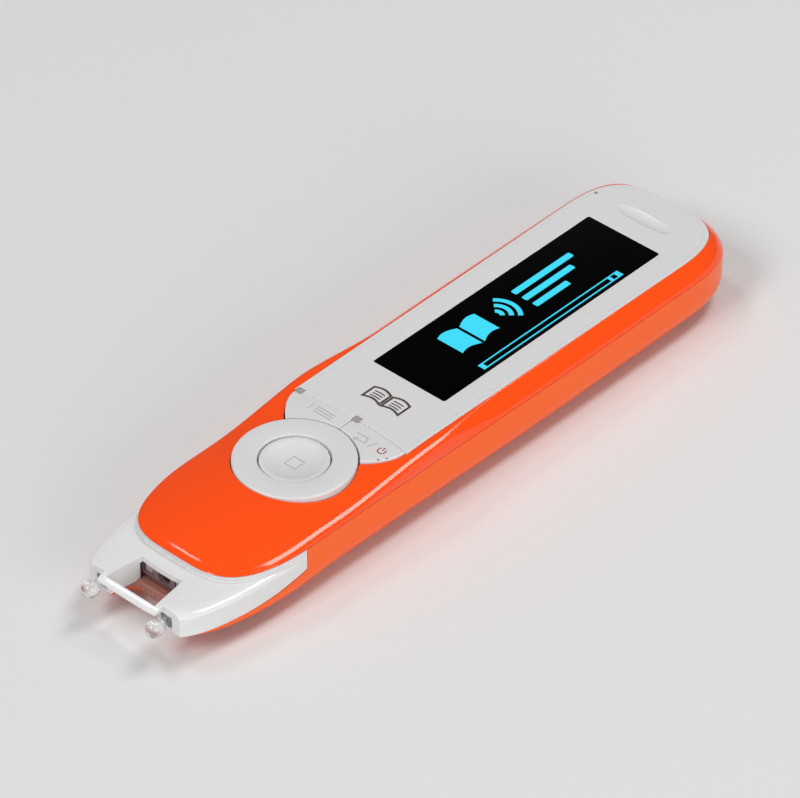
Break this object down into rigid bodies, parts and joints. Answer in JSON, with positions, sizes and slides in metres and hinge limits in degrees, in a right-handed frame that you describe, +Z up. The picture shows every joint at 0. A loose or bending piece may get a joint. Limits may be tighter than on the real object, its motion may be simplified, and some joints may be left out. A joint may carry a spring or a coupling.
{
  "type": "handheld scanning pen",
  "caption": "Flat handheld scanning pen with a clear reading nose, sprung foot yoke, four-way ring, keys and a strip display.",
  "frame": {"origin": "on the resting surface, under the middle of the pen's length and width", "axes": "+X runs from the reading nose to the rear end, +Y points away from a reader who sees the display upright with the nose on their left, +Z up out of the face with the display"},
  "size_m": [0.135, 0.03, 0.0133],
  "materials": {
    "orange_casing": "satin gloss moulded plastic",
    "pale_plastic": "fine satin",
    "clear_plastic": "clear, slightly milky moulded plastic",
    "display_black": "polished black window",
    "display_glass": "polished",
    "ribbon": "amber film",
    "steel": "plain",
    "carrier_plastic": "as moulded",
    "smoked_window": "smoked",
    "contact_film": "film with metal domes",
    "circuit_board": "solder resist",
    "dark_plastic": "as moulded",
    "battery_foil": "foil pouch",
    "lens_glass": "polished",
    "lamp": "encapsulated lamp"
  },
  "bodies": {
    "casing": {"upper_casing": "orange_casing", "lower_casing": "orange_casing", "face_panel": "pale_plastic", "display_lens": "display_black", "display_module": "display_glass", "display_ribbon": "ribbon", "nose_shell": "clear_plastic", "tip_switch": "dark_plastic", "nav_post": "carrier_plastic", "light_window_left": "smoked_window", "light_window_middle": "smoked_window", "contact_sheet": "contact_film", "main_board": "circuit_board", "processor": "dark_plastic", "memory_chip": "dark_plastic", "battery": "battery_foil", "camera_barrel": "dark_plastic", "camera_lens": "lens_glass", "sensor_board": "circuit_board", "light_baffle": "dark_plastic", "lamp_left": "lamp", "lamp_right": "lamp", "speaker": "dark_plastic", "microphone": "steel", "data_socket": "steel", "earphone_socket": "dark_plastic", "tip_spring": "steel", "casing_screw_1": "steel", "casing_screw_2": "steel", "casing_screw_3": "steel", "casing_screw_4": "steel"},
    "carrier": {"nav_carrier": "carrier_plastic"},
    "ring": {"nav_ring": "pale_plastic"},
    "center": {"center_button": "pale_plastic"},
    "menu": {"menu_button": "pale_plastic"},
    "back": {"back_button": "pale_plastic"},
    "yoke": {"tip_yoke": "clear_plastic"}
  },
  "joints": [
    {"name": "carrier_rock", "type": "hinge", "parent": "casing", "child": "carrier", "pos_m": [-0.027, 0, 0.0099], "axis": [1, 0, 0], "range_deg": [-1.7, 1.7], "stiffness_Nm_per_rad": 0.05},
    {"name": "ring_rock", "type": "hinge", "parent": "carrier", "child": "ring", "pos_m": [-0.027, 0, 0.0099], "axis": [0, 1, 0], "range_deg": [-1.7, 1.7], "stiffness_Nm_per_rad": 0.05},
    {"name": "center_press", "type": "slide", "parent": "casing", "child": "center", "axis": [0, 0, -1], "range_m": [0, 0.0004], "stiffness_N_per_m": 400},
    {"name": "menu_press", "type": "slide", "parent": "casing", "child": "menu", "axis": [0, 0, -1], "range_m": [0, 0.0004], "stiffness_N_per_m": 400},
    {"name": "back_press", "type": "slide", "parent": "casing", "child": "back", "axis": [0, 0, -1], "range_m": [0, 0.0004], "stiffness_N_per_m": 400},
    {"name": "tip_press", "type": "slide", "parent": "casing", "child": "yoke", "axis": [1, 0, 0], "range_m": [0, 0.0008], "stiffness_N_per_m": 300, "deforming": ["tip_spring"]}
  ]
}
